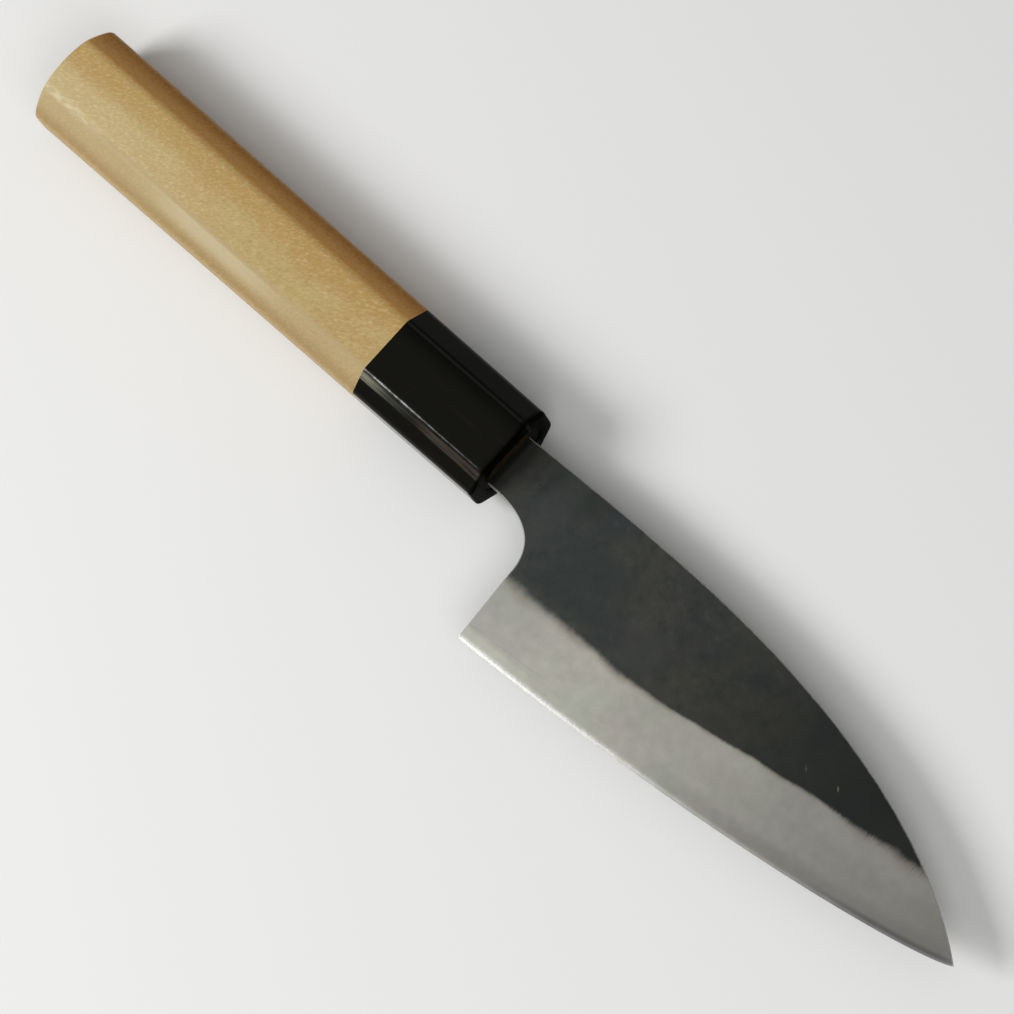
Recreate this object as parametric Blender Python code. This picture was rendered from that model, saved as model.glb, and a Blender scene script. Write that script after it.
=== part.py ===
"""Petty knife: a laminated forged blade, its tang set in an octagonal wooden handle with a horn ferrule.

X runs from the butt to the tip, +Y to the spine, and the blade lies flat with its middle plane level.
The parts are modelled from the ferrule's front face, on the handle's axis, and set down on Z = 0 at the end.
"""
from math import cos, pi, radians, sqrt, tan

import bmesh
import bpy
import numpy as np
from mathutils import Matrix, Vector
from mathutils.geometry import interpolate_bezier

# Blade outline
HEEL_X = 0.0166                  # heel in front of the ferrule
BLADE_LENGTH = 0.1188            # heel to tip along the handle's axis
NECK_TOP = 0.0057                # spine above the axis where the blade leaves the ferrule
NECK_BOTTOM = 0.0069             # underside of the neck below the axis
CREST_X = 0.038                  # highest place of the spine
CREST_HEIGHT = 0.00665
TIP_DROP = 0.0174                # tip below the axis
HEEL_DROP = 0.0341               # heel below the axis
SPINE_TIP_SLOPE = 0.80           # fall of the spine as it meets the tip
EDGE_TIP_SLOPE = 0.75            # rise of the edge as it meets the tip
EDGE_HEEL_SLOPE = 0.046          # rise of the edge at the heel
NECK_SWEEP = 0.0127              # how far the spine keeps the tang's slope in front of the ferrule
CREST_SWEEP = 0.015              # how far the spine keeps level past its crest
SPINE_TIP_SWEEP = 0.0304         # how far the spine keeps its last slope
EDGE_HEEL_SWEEP = 0.068
EDGE_TIP_SWEEP = 0.0042

# Choil, the hollow between the neck and the heel
CHOIL_START = 0.003              # straight underside in front of the ferrule
CHOIL_DROP = 0.0096              # where the straight heel begins, below the underside of the neck
CHOIL_SWEEP = 0.0105             # how far the underside keeps nearly level
CHOIL_FALL = 0.00033             # what it falls on the way
CHOIL_RISE = 0.0037              # how far the heel line keeps straight upwards
HEEL_LEAN = 0.0008               # the heel line leans forward by this much at the edge

# Blade thickness and grind
NECK_THICKNESS = 0.0030
TIP_THICKNESS = 0.0010           # of the spine, where it would reach the tip unground
FACE_THINNING = 0.0004           # lost between the spine and the line where the bevel starts
SPINE_EASING = 0.00025           # eased corners of the spine
BEVEL_WIDTH = 0.0150             # mean width of the ground bevel
BEVEL_WAVE = 0.00105             # the hand-ground bevel line rises and falls by this much
BEVEL_WAVE_LENGTH = 0.078
BEVEL_WAVE_CREST = 0.088         # one high place of that wave, in front of the ferrule
BEVEL_BELLY = 0.14               # fullness of the convex bevel
MICRO_BEVEL_HEIGHT = 0.0006
MICRO_BEVEL_ANGLE = 14           # degrees a side
CORE_THICKNESS = 0.0008          # hard steel between the two soft claddings

# Tang
TANG_END_TOP = 0.0019
TANG_END_BOTTOM = 0.0031
TANG_END_THICKNESS = 0.0018
TANG_STOP = 0.0365               # wood left between the tang's end and the butt
TANG_CLEARANCE = 0.0002
SLOT_RUNOUT = 0.0015             # slot beyond the end of the tang

# Handle
HANDLE_LENGTH = 0.1287           # with the ferrule, to the top of the butt's crown
BUTT_HEIGHT = 0.0241
BUTT_THICKNESS = 0.0196
FRONT_HEIGHT = 0.0225
FRONT_THICKNESS = 0.0186
BUTT_FLAT = 0.0054               # corner flats, measured along the height and the thickness alike
FRONT_FLAT = 0.0047
RIDGE_EASING = 0.0005
CROWN_RADIUS = 0.032             # of the domed butt
BUTT_ROUNDING = 0.0007           # of the butt's rim
RIM_ANGLE = 45                   # degrees; the rim turns by more than this, the dome and sides by less

# Ferrule, tenon and seal
FERRULE_LENGTH = 0.0333
FERRULE_CHAMFER = 0.0007
MOUTH_OVER_NECK = 0.0024         # mouth past the spine side of the neck
MOUTH_UNDER_NECK = 0.0010        # and past its edge side
MOUTH_WIDTH = 0.0106
TENON_CLEARANCE = 0.0003
SEAL_DEPTH = 0.0020
SEAL_RECESS = 0.0002
SEAL_CLEARANCE = 0.0002

# Fineness of the faceting
BLADE_STATIONS = 44
STATION_CROWDING = 1.6           # stations draw together towards the tip
BEVEL_ROWS = (0.12, 0.28, 0.5, 0.75)  # rows between the micro bevel and the bevel line
LINE_STEPS = 48
MOUTH_SEGMENTS = 36
SIDE_STEPS = 4                   # steps across each of the handle's eight sides
CROWN_RINGS = (0.85, 0.65, 0.42, 0.2)
SMOOTH_ANGLE = 25                # degrees

TIP_X = HEEL_X + BLADE_LENGTH
TANG_LENGTH = HANDLE_LENGTH - TANG_STOP
BEYOND = 0.010                   # cutters reach this far past what they cut


def clear_scene():
    for thing in list(bpy.data.objects):
        bpy.data.objects.remove(thing, do_unlink=True)


def new_collection(name):
    collection = bpy.data.collections.new(name)
    bpy.context.scene.collection.children.link(collection)
    return collection


def new_material(name, colour, roughness, metallic=0.0):
    material = bpy.data.materials.new(name)
    material.use_nodes = True
    shader = material.node_tree.nodes["Principled BSDF"]
    shader.inputs["Base Color"].default_value = (*colour, 1.0)
    shader.inputs["Roughness"].default_value = roughness
    shader.inputs["Metallic"].default_value = metallic
    return material


def new_object(name, bm, collection):
    """Turn a finished bmesh into an object with its faces pointing out."""
    bmesh.ops.recalc_face_normals(bm, faces=bm.faces)
    if bm.calc_volume(signed=True) < 0:
        bmesh.ops.reverse_faces(bm, faces=bm.faces)
    mesh = bpy.data.meshes.new(name)
    bm.to_mesh(mesh)
    bm.free()
    thing = bpy.data.objects.new(name, mesh)
    collection.objects.link(thing)
    return thing


def new_cutter(name, bm, cutters):
    cutter = new_object(name, bm, cutters)
    cutter.hide_render = True
    cutter.display_type = "WIRE"
    return cutter


def add_boolean(thing, cutter, operation):
    modifier = thing.modifiers.new(operation.title() + " " + cutter.name, "BOOLEAN")
    modifier.object = cutter
    modifier.operation = operation
    modifier.solver = "EXACT"


def finish(thing, material, parent):
    thing.data.materials.clear()
    thing.data.materials.append(material)
    thing.data.shade_smooth()
    thing.data.set_sharp_from_angle(angle=radians(SMOOTH_ANGLE))
    thing.parent = parent
    return thing


def smooth_line(knots):
    """Points of a Bezier line in the blade's plane. A knot is (x, y, slope, sweep)."""
    points = []
    for (x0, y0, slope0, sweep0), (x1, y1, slope1, sweep1) in zip(knots, knots[1:]):
        start = Vector((x0, y0, 0))
        end = Vector((x1, y1, 0))
        leaving = start + Vector((sweep0, sweep0 * slope0, 0))
        arriving = end - Vector((sweep1, sweep1 * slope1, 0))
        points += interpolate_bezier(start, leaving, arriving, end, LINE_STEPS)
    return [point.x for point in points], [point.y for point in points]


def tang_slope(at_neck, at_end):
    return (at_neck - at_end) / TANG_LENGTH


def spine_line():
    slope = tang_slope(NECK_TOP, TANG_END_TOP)
    neck = (0, NECK_TOP, slope, NECK_SWEEP)
    crest = (CREST_X, CREST_HEIGHT, 0, CREST_SWEEP)
    tip = (TIP_X, -TIP_DROP, -SPINE_TIP_SLOPE, SPINE_TIP_SWEEP)
    xs, ys = smooth_line([neck, crest, tip])
    return [-TANG_LENGTH] + xs, [TANG_END_TOP] + ys


def edge_line():
    """The cutting edge, carried straight on behind the heel as on the uncut blank."""
    heel = (HEEL_X, -HEEL_DROP, EDGE_HEEL_SLOPE, EDGE_HEEL_SWEEP)
    tip = (TIP_X, -TIP_DROP, EDGE_TIP_SLOPE, EDGE_TIP_SWEEP)
    xs, ys = smooth_line([heel, tip])
    behind = HEEL_X + TANG_LENGTH
    return [-TANG_LENGTH] + xs, [-HEEL_DROP - behind * EDGE_HEEL_SLOPE] + ys


SPINE = spine_line()
EDGE = edge_line()


def bevel_line(x):
    """Height of the line where the ground bevel starts, which wanders as a hand-ground one does."""
    x = max(x, HEEL_X)
    wave = cos(2 * pi * (x - BEVEL_WAVE_CREST) / BEVEL_WAVE_LENGTH)
    return np.interp(x, *EDGE) + BEVEL_WIDTH + BEVEL_WAVE * wave


def spine_thickness(x):
    return np.interp(x, (-TANG_LENGTH, 0, TIP_X), (TANG_END_THICKNESS, NECK_THICKNESS, TIP_THICKNESS))


def half_thickness(x, y, bevel_foot, foot_half):
    """Half the blade's thickness at height y of station x, above the micro bevel."""
    line = bevel_line(x)
    spine = np.interp(x, *SPINE)
    at_line = (spine_thickness(x) - FACE_THINNING) / 2
    if y >= line:
        return at_line + FACE_THINNING / 2 * (y - line) / (spine - line)
    rise = (y - bevel_foot) / (line - bevel_foot)
    return foot_half + (at_line - foot_half) * (rise + BEVEL_BELLY * rise * (1 - rise))


def blade_section(x):
    """One side of the blade at x, as (height, half thickness) from the edge up to the spine."""
    edge = np.interp(x, *EDGE)
    spine = np.interp(x, *SPINE)
    room = (spine - edge) / 6  # the micro bevel and the easing shrink with the blade near its tip
    easing = min(SPINE_EASING, room)
    foot = edge + min(MICRO_BEVEL_HEIGHT, room)
    foot_half = (foot - edge) * tan(radians(MICRO_BEVEL_ANGLE))
    line = min(bevel_line(x), spine - 2 * easing)
    heights = [foot] + [foot + row * (line - foot) for row in BEVEL_ROWS] + [line, spine - easing]
    section = [(edge, 0.0)]
    for height in heights:
        section.append((height, half_thickness(x, height, foot, foot_half)))
    top_half = section[-1][1]
    section.append((spine, max(top_half - easing, top_half / 2)))
    return section


def blade_stations():
    """Places along the blade where its section is drawn, closer together near the tip."""
    stations = [-TANG_LENGTH, 0, HEEL_X / 2]
    for step in range(BLADE_STATIONS):
        left = (1 - step / BLADE_STATIONS) ** STATION_CROWDING
        stations.append(TIP_X - BLADE_LENGTH * left)
    return stations


def blade_blank():
    """The forged and ground blank with its tang: a loft through the sections, closed in the tip's point."""
    bm = bmesh.new()
    rings = []
    for x in blade_stations():
        section = blade_section(x)
        upper = [bm.verts.new((x, y, z)) for y, z in section]
        lower = [bm.verts.new((x, y, -z)) for y, z in section[1:]]
        rings.append(upper + lower[::-1])
    for ring, following in zip(rings, rings[1:]):
        for i in range(len(ring)):
            bm.faces.new((ring[i - 1], ring[i], following[i], following[i - 1]))
    tip = bm.verts.new((TIP_X, -TIP_DROP, 0))
    last = rings[-1]
    for i in range(len(last)):
        bm.faces.new((last[i - 1], last[i], tip))
    bm.faces.new(rings[0])
    return bm


def choil_cutter(cutters):
    """Everything below the tang, the neck and the choil and behind the heel, as one flat outline."""
    slope = tang_slope(-NECK_BOTTOM, -TANG_END_BOTTOM)
    far_left = -TANG_LENGTH - BEYOND
    floor = -HEEL_DROP - 3 * BEYOND
    choil_end = Vector((HEEL_X - HEEL_LEAN, -NECK_BOTTOM - CHOIL_DROP, 0))
    heel = Vector((HEEL_X, -HEEL_DROP, 0))
    lean = heel - choil_end
    start = Vector((CHOIL_START, -NECK_BOTTOM, 0))
    leaving = start + Vector((CHOIL_SWEEP, -CHOIL_FALL, 0))
    arriving = choil_end - lean.normalized() * CHOIL_RISE
    outline = [Vector((far_left, -NECK_BOTTOM + slope * far_left, 0)), Vector((0, -NECK_BOTTOM, 0))]
    outline += interpolate_bezier(start, leaving, arriving, choil_end, LINE_STEPS // 2)
    outline.append(heel + lean * (floor - heel.y) / lean.y)
    outline.append(Vector((far_left, floor, 0)))

    curve = bpy.data.curves.new("choil_outline", "CURVE")
    curve.dimensions = "2D"
    curve.fill_mode = "BOTH"
    curve.extrude = NECK_THICKNESS + BEYOND
    spline = curve.splines.new("POLY")
    spline.points.add(len(outline) - 1)
    for point, place in zip(spline.points, outline):
        point.co = (*place, 1)
    spline.use_cyclic_u = True
    flat = bpy.data.objects.new("choil_outline", curve)
    cutters.objects.link(flat)
    bpy.context.view_layer.update()
    evaluated = flat.evaluated_get(bpy.context.evaluated_depsgraph_get())
    bm = bmesh.new()
    bm.from_mesh(bpy.data.meshes.new_from_object(evaluated))
    bmesh.ops.remove_doubles(bm, verts=bm.verts, dist=1e-7)
    bpy.data.objects.remove(flat)
    return new_cutter("choil_cutter", bm, cutters)


def cut_blade(cutters):
    """The whole blade's mesh, with its tang, neck, choil and heel cut out of the blank."""
    blank = new_object("blade_blank", blade_blank(), cutters)
    add_boolean(blank, choil_cutter(cutters), "DIFFERENCE")
    bpy.context.view_layer.update()
    evaluated = blank.evaluated_get(bpy.context.evaluated_depsgraph_get())
    mesh = bpy.data.meshes.new_from_object(evaluated)
    bpy.data.objects.remove(blank)
    return mesh


def trim(bm, level, keep_above):
    """Cut the blade on a level plane and close it there, so neighbouring layers meet face to face."""
    geometry = bm.verts[:] + bm.edges[:] + bm.faces[:]
    cut = bmesh.ops.bisect_plane(bm, geom=geometry, dist=1e-8, plane_co=(0, 0, level), plane_no=(0, 0, 1),
                                 clear_inner=keep_above, clear_outer=not keep_above)
    for element in cut["geom_cut"]:
        if isinstance(element, bmesh.types.BMVert):
            element.co.z = level
    bmesh.ops.holes_fill(bm, edges=[edge for edge in bm.edges if edge.is_boundary])


def blade_layer(name, blade, low, high, knife):
    """One layer of the forge-welded blade, between two levels; None leaves that side open."""
    bm = bmesh.new()
    bm.from_mesh(blade)
    if low is not None:
        trim(bm, low, keep_above=True)
    if high is not None:
        trim(bm, high, keep_above=False)
    return new_object(name, bm, knife)


def along_handle(x, at_butt, at_front):
    return at_front + (at_butt - at_front) * -x / HANDLE_LENGTH


def octagon(x):
    """The handle's section at x, a rectangle with its corners planed off, as points along its eight sides."""
    y = along_handle(x, BUTT_HEIGHT, FRONT_HEIGHT) / 2
    z = along_handle(x, BUTT_THICKNESS, FRONT_THICKNESS) / 2
    flat = along_handle(x, BUTT_FLAT, FRONT_FLAT)
    quarter = [(y, z - flat), (y - flat, z)]
    half = quarter + [(-b, c) for b, c in quarter[::-1]]
    corners = [Vector((x, b, c)) for b, c in half + [(-b, -c) for b, c in half]]
    points = []
    for corner, following in zip(corners, corners[1:] + corners[:1]):
        points += [corner.lerp(following, step / SIDE_STEPS) for step in range(SIDE_STEPS)]
    return points


def crown(y, z):
    """Where the domed butt lies at this distance from the handle's axis."""
    return CROWN_RADIUS - HANDLE_LENGTH - sqrt(CROWN_RADIUS ** 2 - y ** 2 - z ** 2)


def crown_rim():
    """The butt's rim, where the tapered sides meet the dome."""
    rim = []
    for i, rough in enumerate(octagon(-HANDLE_LENGTH)):
        rim.append(octagon(crown(rough.y, rough.z))[i])
    return rim


def join_rings(bm, ring, following):
    for i in range(len(ring)):
        bm.faces.new((ring[i - 1], ring[i], following[i], following[i - 1]))


def ease_ridges(bm, ring, following):
    """Round the eight long ridges between two rings of the bar."""
    corners = [{ring[i], following[i]} for i in range(0, len(ring), SIDE_STEPS)]
    ridges = [edge for edge in bm.edges if set(edge.verts) in corners]
    bmesh.ops.bevel(bm, geom=ridges, offset=RIDGE_EASING, segments=3, profile=0.5, affect="EDGES")


def body_bar():
    """The wooden body's outside: the tapered eight-sided bar, closed by the domed butt."""
    bm = bmesh.new()
    shoulder = [bm.verts.new(point) for point in octagon(-FERRULE_LENGTH)]
    rim_points = crown_rim()
    rim = [bm.verts.new(point) for point in rim_points]
    bm.faces.new(shoulder)
    join_rings(bm, shoulder, rim)
    ring = rim
    for share in CROWN_RINGS:
        inner = [bm.verts.new((crown(point.y * share, point.z * share), point.y * share, point.z * share))
                 for point in rim_points]
        join_rings(bm, ring, inner)
        ring = inner
    peak = bm.verts.new((-HANDLE_LENGTH, 0, 0))
    for i in range(len(ring)):
        bm.faces.new((ring[i - 1], ring[i], peak))
    ease_ridges(bm, shoulder, rim)
    bm.normal_update()
    rim_edges = [edge for edge in bm.edges
                 if edge.calc_face_angle() > radians(RIM_ANGLE) and edge.verts[0].co.x < -HANDLE_LENGTH / 2]
    bmesh.ops.bevel(bm, geom=rim_edges, offset=BUTT_ROUNDING, segments=4, profile=0.5, affect="EDGES")
    return bm


def ferrule_bar():
    """The ferrule's outside, which carries on the body's section and taper to the chamfered front."""
    bm = bmesh.new()
    back = [bm.verts.new(point) for point in octagon(-FERRULE_LENGTH)]
    front = [bm.verts.new(point) for point in octagon(0)]
    bm.faces.new(back)
    bm.faces.new(front)
    join_rings(bm, back, front)
    ease_ridges(bm, back, front)
    front_edges = [edge for edge in bm.edges if min(vert.co.x for vert in edge.verts) > -FERRULE_CHAMFER]
    bmesh.ops.bevel(bm, geom=front_edges, offset=FERRULE_CHAMFER, segments=2, profile=0.5, affect="EDGES")
    return bm


def mouth_bar(low_x, high_x, inset=0.0):
    """A bar with rounded ends that fits the ferrule's mouth, smaller all round by the inset."""
    top = NECK_TOP + MOUTH_OVER_NECK
    bottom = -NECK_BOTTOM - MOUTH_UNDER_NECK
    radius = MOUTH_WIDTH / 2 - inset
    straight = (top - bottom - MOUTH_WIDTH) / 2
    centre = (top + bottom) / 2
    bm = bmesh.new()
    bmesh.ops.create_cone(bm, cap_ends=True, segments=MOUTH_SEGMENTS, radius1=radius, radius2=radius,
                          depth=high_x - low_x)
    half_step = Matrix.Rotation(pi / MOUTH_SEGMENTS, 3, "Z")
    lie_down = Matrix.Rotation(pi / 2, 3, "Y")
    for vert in bm.verts:
        vert.co = lie_down @ half_step @ vert.co
        vert.co.x += (low_x + high_x) / 2
        vert.co.y += centre + (straight if vert.co.y > 0 else -straight)
    return bm


def tang_space(low_x, high_x, clearance):
    """A tapered box round the tang and neck, larger on every side by the clearance."""
    bm = bmesh.new()
    bmesh.ops.create_cube(bm, size=2)
    for vert in bm.verts:
        x = high_x if vert.co.x > 0 else low_x
        top = NECK_TOP + x * tang_slope(NECK_TOP, TANG_END_TOP)
        bottom = -NECK_BOTTOM + x * tang_slope(-NECK_BOTTOM, -TANG_END_BOTTOM)
        thickness = NECK_THICKNESS + x * tang_slope(NECK_THICKNESS, TANG_END_THICKNESS)
        y = top + clearance if vert.co.y > 0 else bottom - clearance
        vert.co = (x, y, vert.co.z * (thickness / 2 + clearance))
    return bm


def handle_body(knife, cutters):
    """The wooden body, with the tenon that carries the ferrule and the slot that takes the tang."""
    body = new_object("handle_body", body_bar(), knife)
    root = -FERRULE_LENGTH - FRONT_FLAT
    tenon = new_cutter("tenon", mouth_bar(root, -SEAL_DEPTH - SEAL_CLEARANCE, TENON_CLEARANCE), cutters)
    slot_end = -TANG_LENGTH - SLOT_RUNOUT
    slot = new_cutter("tang_slot", tang_space(slot_end, BEYOND, TANG_CLEARANCE), cutters)
    add_boolean(body, tenon, "UNION")
    add_boolean(body, slot, "DIFFERENCE")
    return body


def horn_ferrule(knife, cutters):
    """The horn ring: it carries on the handle's section and is bored for the tenon."""
    ferrule = new_object("horn_ferrule", ferrule_bar(), knife)
    bore = new_cutter("mouth", mouth_bar(-FERRULE_LENGTH - BEYOND, BEYOND), cutters)
    add_boolean(ferrule, bore, "DIFFERENCE")
    return ferrule


def tang_seal(knife, cutters):
    """The plug that closes the ferrule's mouth around the neck."""
    seal = new_object("tang_seal", mouth_bar(-SEAL_DEPTH, -SEAL_RECESS, SEAL_CLEARANCE), knife)
    neck = new_cutter("neck_space", tang_space(-SEAL_DEPTH - BEYOND, BEYOND, SEAL_CLEARANCE), cutters)
    add_boolean(seal, neck, "DIFFERENCE")
    return seal


def set_down(base, parts):
    """Move the knife so that the middle of its box stands over the origin and its lowest point on Z = 0."""
    bpy.context.view_layer.update()
    graph = bpy.context.evaluated_depsgraph_get()
    corners = []
    for part in parts:
        evaluated = part.evaluated_get(graph)
        corners += [evaluated.matrix_world @ Vector(corner) for corner in evaluated.bound_box]
    low = Vector(map(min, zip(*corners)))
    high = Vector(map(max, zip(*corners)))
    base.location = (-(low.x + high.x) / 2, -(low.y + high.y) / 2, -low.z)


def build():
    clear_scene()
    knife = new_collection("petty_knife")
    cutters = new_collection("cutters")
    base = bpy.data.objects.new("knife_base", None)
    knife.objects.link(base)

    edge_steel = new_material("edge_steel", (0.60, 0.59, 0.56), 0.26, 1.0)
    forge_scale = new_material("forge_scale", (0.045, 0.050, 0.052), 0.45, 0.6)
    polished_horn = new_material("polished_horn", (0.012, 0.011, 0.010), 0.18)
    magnolia = new_material("magnolia_wood", (0.53, 0.37, 0.18), 0.55)
    resin = new_material("resin", (0.10, 0.065, 0.025), 0.4)

    blade = cut_blade(cutters)
    half_core = CORE_THICKNESS / 2
    parts = [
        finish(blade_layer("core_steel", blade, -half_core, half_core, knife), edge_steel, base),
        finish(blade_layer("upper_cladding", blade, half_core, None, knife), forge_scale, base),
        finish(blade_layer("lower_cladding", blade, None, -half_core, knife), forge_scale, base),
        finish(handle_body(knife, cutters), magnolia, base),
        finish(horn_ferrule(knife, cutters), polished_horn, base),
        finish(tang_seal(knife, cutters), resin, base),
    ]
    for cutter in cutters.objects:
        cutter.parent = base
    set_down(base, parts)


build()
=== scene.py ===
from math import cos, pi, radians, sin, tan

import bmesh
import bpy
import numpy as np
from mathutils import Matrix, Vector, noise
from mathutils.geometry import interpolate_bezier


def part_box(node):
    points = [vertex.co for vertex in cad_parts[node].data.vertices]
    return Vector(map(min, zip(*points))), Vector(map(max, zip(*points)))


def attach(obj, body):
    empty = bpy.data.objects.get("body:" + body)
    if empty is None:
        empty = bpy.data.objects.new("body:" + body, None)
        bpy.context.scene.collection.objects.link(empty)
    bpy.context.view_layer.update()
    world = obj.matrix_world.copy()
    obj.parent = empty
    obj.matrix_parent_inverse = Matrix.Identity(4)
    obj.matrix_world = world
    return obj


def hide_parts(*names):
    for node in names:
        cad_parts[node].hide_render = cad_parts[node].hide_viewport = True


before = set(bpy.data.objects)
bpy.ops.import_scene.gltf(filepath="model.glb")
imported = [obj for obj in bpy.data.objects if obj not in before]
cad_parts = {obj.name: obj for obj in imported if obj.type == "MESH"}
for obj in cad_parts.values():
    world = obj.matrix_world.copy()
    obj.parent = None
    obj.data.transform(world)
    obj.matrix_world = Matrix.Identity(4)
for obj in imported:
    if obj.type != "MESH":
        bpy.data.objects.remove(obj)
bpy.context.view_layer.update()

# Lengths are in millimetres from the ferrule's front face, the handle's axis and the blade's middle plane:
# X to the tip, Y to the spine, Z up. The CAD nodes say where that point lies.
MM = 0.001
body_low, body_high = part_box("handle_body")
ferrule_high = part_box("horn_ferrule")[1]
ORIGIN = Vector((ferrule_high.x, (body_low.y + body_high.y) / 2, (body_low.z + body_high.z) / 2))

# Blade outline
TIP = (135.4, -17.4)
HEEL = (16.6, -34.1)
CREST = (38.0, 6.65)             # the highest point of the spine
NECK_TOP = 5.7
NECK_BOTTOM = -6.9
CHOIL_START = (3.0, -6.9)
CHOIL_END = (15.8, -16.5)
TANG_END = -92.2
TANG_END_TOP = 1.9
TANG_END_BOTTOM = -3.1

# How far each of the outline's curves keeps the direction it has at an end, and the slopes there
NECK_REACH = 12.7
CREST_REACH = 15
SPINE_TIP_REACH = 30.4
SPINE_TIP_SLOPE = -0.8
EDGE_HEEL_REACH = 68
EDGE_HEEL_SLOPE = 0.046
EDGE_TIP_REACH = 4.2
EDGE_TIP_SLOPE = 0.75
CHOIL_LEAVING = (10.5, -0.33)
CHOIL_END_REACH = 3.7

# Blade thickness
NECK_THICKNESS = 3.0
TANG_END_THICKNESS = 1.8
TIP_THICKNESS = 1.0
POINT_WIDTH = 2.2                # a blade narrower than this is thinned out to the point
FACE_THINNING = 0.4              # from the spine to the bevel line
FACE_SLOPE = 0.02                # the steepest that this thinning gets
BEVEL_BULGE = 0.14               # how convex the ground bevel is
BEVEL_BLEND = 0.035              # how softly it turns into the face above it
MICRO_BEVEL = 0.6
MICRO_SLOPE = tan(radians(14))
EASING = 0.25                    # the round along the spine, the neck, the choil and the heel
CORE_THICKNESS = 0.8

# Unevenness of the blade's faces, and the seeds of each face's forged and ground part
FORGED_WAVE = 0.022
FORGED_SINK = 0.012
GROUND_WAVE = 0.006
UPPER_SEEDS = (3, 5)
LOWER_SEEDS = (7, 11)

# Small bright chips in the scale: X, Y and how bright
CHIPS = ((87.64, -7.62, 0.2), (95.08, -6.41, 0.5))
CHIP_TILT = 48.7
CHIP_STRETCH = 0.35

# Handle
HANDLE_LENGTH = 128.7
BUTT = (24.08, 19.58, 5.4)       # height, thickness and corner flat
FRONT = (22.5, 18.6, 4.7)
FERRULE_LENGTH = 33.3
CROWN_RADIUS = 32.0
HALF_WIDTH = 11.0                # from the axis to the middle of a side, about
WIDE_SIDE = 2.5                  # sides wider than this are cut into strips
BODY_EASING = 1.1
HORN_EASING = 0.8
BUTT_ROUNDING = 0.75
BUTT_RINGS = (2.5, 4.2, 5.9, 7.6, 9.3)
HORN_ROUNDING = 0.8
BODY_SINKING = 0.05              # how deep the hand-finished sides sink between their ridges
HORN_SINKING = 0.03

# Ferrule's mouth, and the plug in it
MOUTH_TOP = 8.1
MOUTH_BOTTOM = -7.9
MOUTH_WIDTH = 10.6
MOUTH_SIDES = 72
MOUTH_EASING = 0.2
PLUG_BACK = -2.0
PLUG_FRONT = -0.12
PLUG_CLEARANCE = 0.02
PLUG_RINGS = 6
PLUG_RING_WIDTH = 0.55
PLUG_DIP = 0.06
NECK_CLEARANCE = 0.08

# Studio: each light's name, direction, distance and side in metres, and power in watts
FLOOR_SIZE = 6
LIGHTS = (("key", (-0.55, -0.62, 0.72), 1.2, 0.5, 10.5), ("fill", (0.55, -0.25, 0.8), 1.3, 0.8, 4.5))
ROOM_BELOW = 0.06
ROOM_ABOVE = 0.45

# Camera: where it stands, how the picture's right side runs along and across the knife, and its lens
CAMERA_SIDE = (0.29, -0.058, 1)
CAMERA_DISTANCE = 1.0
PICTURE_RIGHT = (313, 276)
PICTURE_CENTRE = (5.85, -7.82, 0)
LENS = 175.92
SENSOR = 36


def place(x, y, z):
    """A point of the knife, in metres."""
    return ORIGIN + Vector((x, y, z)) * MM


# Helpers for modelling

def start_fresh():
    if bpy.context.object and bpy.context.object.mode != "OBJECT":
        bpy.ops.object.mode_set(mode="OBJECT")
    bpy.ops.object.select_all(action="DESELECT")


def pick(thing):
    """Make this the only selected object, and the active one."""
    start_fresh()
    thing.select_set(True)
    bpy.context.view_layer.objects.active = thing


def edit(thing, kind="FACE"):
    pick(thing)
    bpy.ops.object.mode_set(mode="EDIT")
    bpy.ops.mesh.select_mode(type=kind)
    bpy.ops.mesh.select_all(action="DESELECT")


def choose(thing, kind, wanted):
    """In edit mode, select only the faces or edges for which wanted() says yes."""
    bpy.ops.mesh.select_all(action="DESELECT")
    mesh = bmesh.from_edit_mesh(thing.data)
    for element in (mesh.faces if kind == "FACE" else mesh.edges):
        if wanted(element):
            element.select_set(True)
    mesh.select_flush_mode()
    bmesh.update_edit_mesh(thing.data)


def coordinates(thing):
    values = np.empty(len(thing.data.vertices) * 3)
    thing.data.vertices.foreach_get("co", values)
    return values.reshape(-1, 3)


def knife_coordinates(thing):
    return (coordinates(thing) - np.array(ORIGIN)) / MM


def set_knife_coordinates(thing, values):
    metres = np.asarray(values) * MM + np.array(ORIGIN)
    thing.data.vertices.foreach_set("co", metres.ravel())
    thing.data.update()


def rename(thing, name):
    thing.name = name
    thing.data.name = name


def freeze(thing, name):
    """Name a new primitive and put its place into its mesh."""
    rename(thing, name)
    bpy.ops.object.transform_apply(location=True, rotation=True, scale=True)
    return thing


def smooth(thing, angle):
    pick(thing)
    bpy.ops.object.shade_smooth_by_angle(angle=radians(angle))


def give(thing, material, replaced):
    thing.data.materials.clear()
    thing.data.materials.append(material)
    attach(thing, "root")
    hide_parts(*replaced)


def ripple(points, size, seed):
    """Smooth noise from about -1 to 1, of this feature size in millimetres, at each point."""
    shift = Vector((seed * 17.3, seed * 5.1, seed * 9.7))
    return np.array([noise.fractal(Vector(point) / size + shift, 1.0, 2.0, 3) for point in points])


def read_table(x, table):
    """The value at x between the pairs of a table."""
    return np.interp(x, *np.transpose(table))


# Blade outline

def curve(start, leaving, end, arriving, steps):
    """A smooth curve. Leaving and arriving say how far and which way its handles lie from its ends."""
    corners = (start, np.add(start, leaving), np.add(end, arriving), end)
    points = interpolate_bezier(*(Vector((*corner, 0)) for corner in corners), steps)
    return np.array([(point.x, point.y) for point in points])


def sloping(reach, slope):
    """A handle that reaches this far along X, at this slope."""
    return reach, reach * slope


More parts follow.
